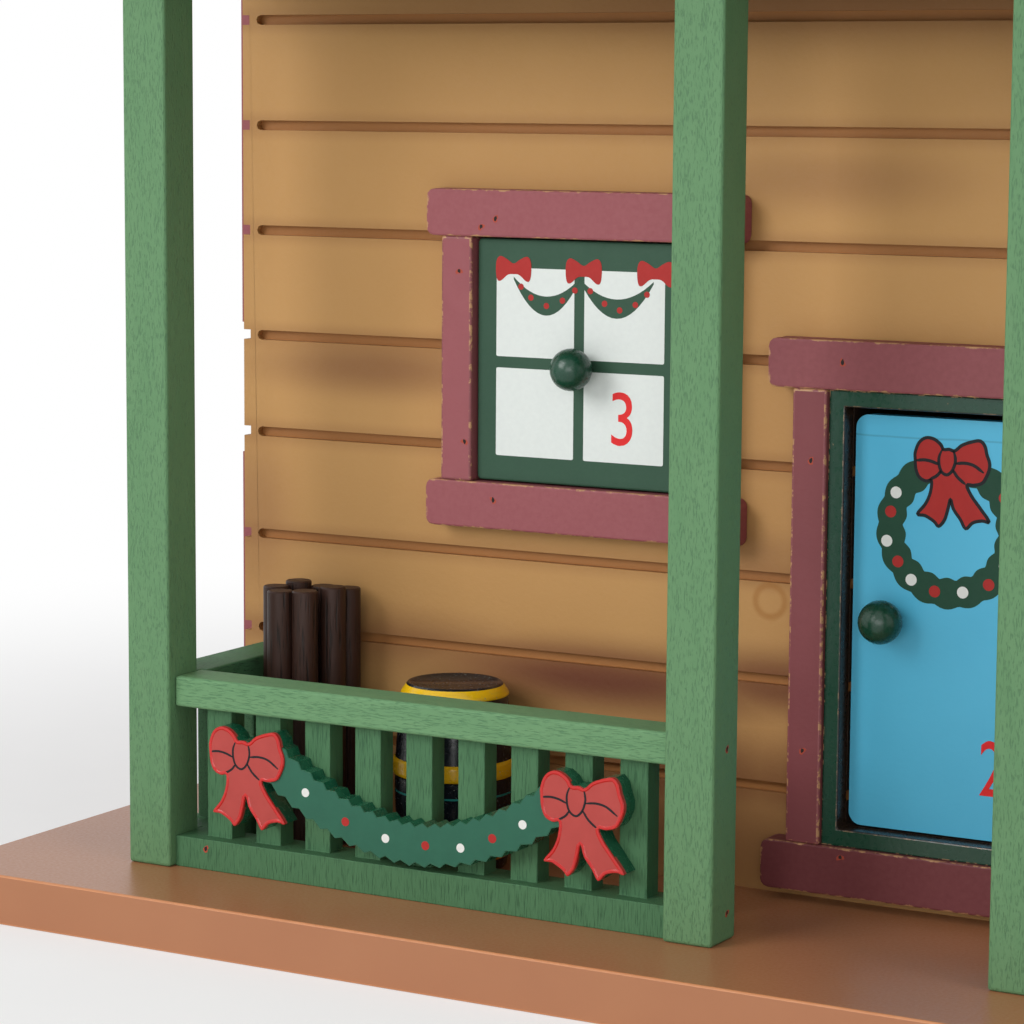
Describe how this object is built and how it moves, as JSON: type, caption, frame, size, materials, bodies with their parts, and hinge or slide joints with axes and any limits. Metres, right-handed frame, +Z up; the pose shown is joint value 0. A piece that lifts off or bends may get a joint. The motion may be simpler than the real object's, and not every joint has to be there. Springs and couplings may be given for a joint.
{
  "type": "cabin advent calendar",
  "caption": "Painted wooden cabin with a porch whose windows are numbered drawers and whose front door opens, for counting down the days before Christmas.",
  "frame": {"origin": "centre of the base board's underside", "axes": "+X to the right along the facade, -Y out of the front door, +Z up"},
  "size_m": [0.45, 0.28, 0.4338],
  "materials": {
    "base": "satin painted fibreboard",
    "wall": "matt painted fibreboard with air-brushed shading",
    "casing": "matt paint with sanded edges",
    "rack": "bare plywood",
    "roof": "matt paint",
    "post": "matt paint over wood grain",
    "garland": "matt print",
    "barrel": "gloss paint",
    "logs": "matt stain",
    "knob": "gloss paint",
    "door": "satin paint",
    "surround": "gloss paint",
    "drawer": "satin print on fibreboard"
  },
  "bodies": {
    "house": {"base_board": "base", "front_wall": "wall", "left_wall": "wall", "right_wall": "wall", "back_panel": "wall", "cell_rack": "rack", "roof_front": "roof", "roof_rear": "roof", "porch_roof": "roof", "porch_beam": "post", "porch_post_1": "post", "porch_post_2": "post", "porch_post_3": "post", "porch_post_4": "post", "top_rail_left": "post", "baluster_rail_left": "post", "side_railing_left": "post", "top_rail_right": "post", "baluster_rail_right": "post", "side_railing_right": "post", "garland_left": "garland", "garland_right": "garland", "barrel": "barrel", "log_bundle": "logs", "window_3_casing_head": "casing", "window_3_casing_sill": "casing", "window_3_casing_jamb_left": "casing", "window_3_casing_jamb_right": "casing", "window_casing_right": "casing", "door_head": "casing", "door_sill": "casing", "door_jamb_left": "casing", "door_jamb_right": "casing", "door_surround": "surround"},
    "front_door": {"front_door": "door", "front_door_knob": "knob"},
    "drawer_03": {"drawer_03": "drawer", "drawer_03_knob": "knob"},
    "drawer_04": {"drawer_04": "drawer"},
    "drawer_05": {"drawer_05": "drawer"},
    "drawer_06": {"drawer_06": "drawer"},
    "drawer_07": {"drawer_07": "drawer"},
    "drawer_08": {"drawer_08": "drawer"},
    "drawer_09": {"drawer_09": "drawer"},
    "drawer_10": {"drawer_10": "drawer"},
    "drawer_11": {"drawer_11": "drawer"},
    "drawer_12": {"drawer_12": "drawer"},
    "drawer_13": {"drawer_13": "drawer"},
    "drawer_14": {"drawer_14": "drawer"},
    "drawer_15": {"drawer_15": "drawer"},
    "drawer_16": {"drawer_16": "drawer"},
    "drawer_17": {"drawer_17": "drawer"},
    "drawer_18": {"drawer_18": "drawer"},
    "drawer_19": {"drawer_19": "drawer"},
    "drawer_20": {"drawer_20": "drawer"},
    "drawer_21": {"drawer_21": "drawer"},
    "drawer_23": {"drawer_23": "drawer"},
    "drawer_02": {"drawer_02": "drawer"},
    "drawer_01": {"drawer_01": "drawer"},
    "drawer_22": {"drawer_22": "drawer"}
  },
  "joints": [
    {"name": "front_door_hinge", "type": "hinge", "parent": "house", "child": "front_door", "pos_m": [0.0212, -0.0579, 0.08], "axis": [0, 0, 1], "range_deg": [0, 95]},
    {"name": "drawer_03_slide", "type": "slide", "parent": "house", "child": "drawer_03", "axis": [0, -1, 0], "range_m": [0, 0.042]},
    {"name": "drawer_04_slide", "type": "slide", "parent": "house", "child": "drawer_04", "axis": [0, -1, 0], "range_m": [0, 0.042]},
    {"name": "drawer_05_slide", "type": "slide", "parent": "house", "child": "drawer_05", "axis": [0, -1, 0], "range_m": [0, 0.042]},
    {"name": "drawer_06_slide", "type": "slide", "parent": "house", "child": "drawer_06", "axis": [0, -1, 0], "range_m": [0, 0.042]},
    {"name": "drawer_07_slide", "type": "slide", "parent": "house", "child": "drawer_07", "axis": [0, -1, 0], "range_m": [0, 0.042]},
    {"name": "drawer_08_slide", "type": "slide", "parent": "house", "child": "drawer_08", "axis": [-1, 0, 0], "range_m": [0, 0.042]},
    {"name": "drawer_09_slide", "type": "slide", "parent": "house", "child": "drawer_09", "axis": [-1, 0, 0], "range_m": [0, 0.042]},
    {"name": "drawer_10_slide", "type": "slide", "parent": "house", "child": "drawer_10", "axis": [-1, 0, 0], "range_m": [0, 0.042]},
    {"name": "drawer_11_slide", "type": "slide", "parent": "house", "child": "drawer_11", "axis": [-1, 0, 0], "range_m": [0, 0.042]},
    {"name": "drawer_12_slide", "type": "slide", "parent": "house", "child": "drawer_12", "axis": [-1, 0, 0], "range_m": [0, 0.042]},
    {"name": "drawer_13_slide", "type": "slide", "parent": "house", "child": "drawer_13", "axis": [-1, 0, 0], "range_m": [0, 0.042]},
    {"name": "drawer_14_slide", "type": "slide", "parent": "house", "child": "drawer_14", "axis": [1, 0, 0], "range_m": [0, 0.042]},
    {"name": "drawer_15_slide", "type": "slide", "parent": "house", "child": "drawer_15", "axis": [1, 0, 0], "range_m": [0, 0.042]},
    {"name": "drawer_16_slide", "type": "slide", "parent": "house", "child": "drawer_16", "axis": [1, 0, 0], "range_m": [0, 0.042]},
    {"name": "drawer_17_slide", "type": "slide", "parent": "house", "child": "drawer_17", "axis": [1, 0, 0], "range_m": [0, 0.042]},
    {"name": "drawer_18_slide", "type": "slide", "parent": "house", "child": "drawer_18", "axis": [1, 0, 0], "range_m": [0, 0.042]},
    {"name": "drawer_19_slide", "type": "slide", "parent": "house", "child": "drawer_19", "axis": [1, 0, 0], "range_m": [0, 0.042]},
    {"name": "drawer_20_slide", "type": "slide", "parent": "house", "child": "drawer_20", "axis": [-1, 0, 0], "range_m": [0, 0.036]},
    {"name": "drawer_21_slide", "type": "slide", "parent": "house", "child": "drawer_21", "axis": [1, 0, 0], "range_m": [0, 0.036]},
    {"name": "drawer_23_slide", "type": "slide", "parent": "house", "child": "drawer_23", "axis": [0, -1, 0], "range_m": [0, 0.036]},
    {"name": "drawer_02_slide", "type": "slide", "parent": "house", "child": "drawer_02", "axis": [0, -1, 0], "range_m": [0, 0.036]},
    {"name": "drawer_01_slide", "type": "slide", "parent": "house", "child": "drawer_01", "axis": [0, -1, 0], "range_m": [0, 0.036]},
    {"name": "drawer_22_slide", "type": "slide", "parent": "house", "child": "drawer_22", "axis": [0, -1, 0], "range_m": [0, 0.036]}
  ]
}
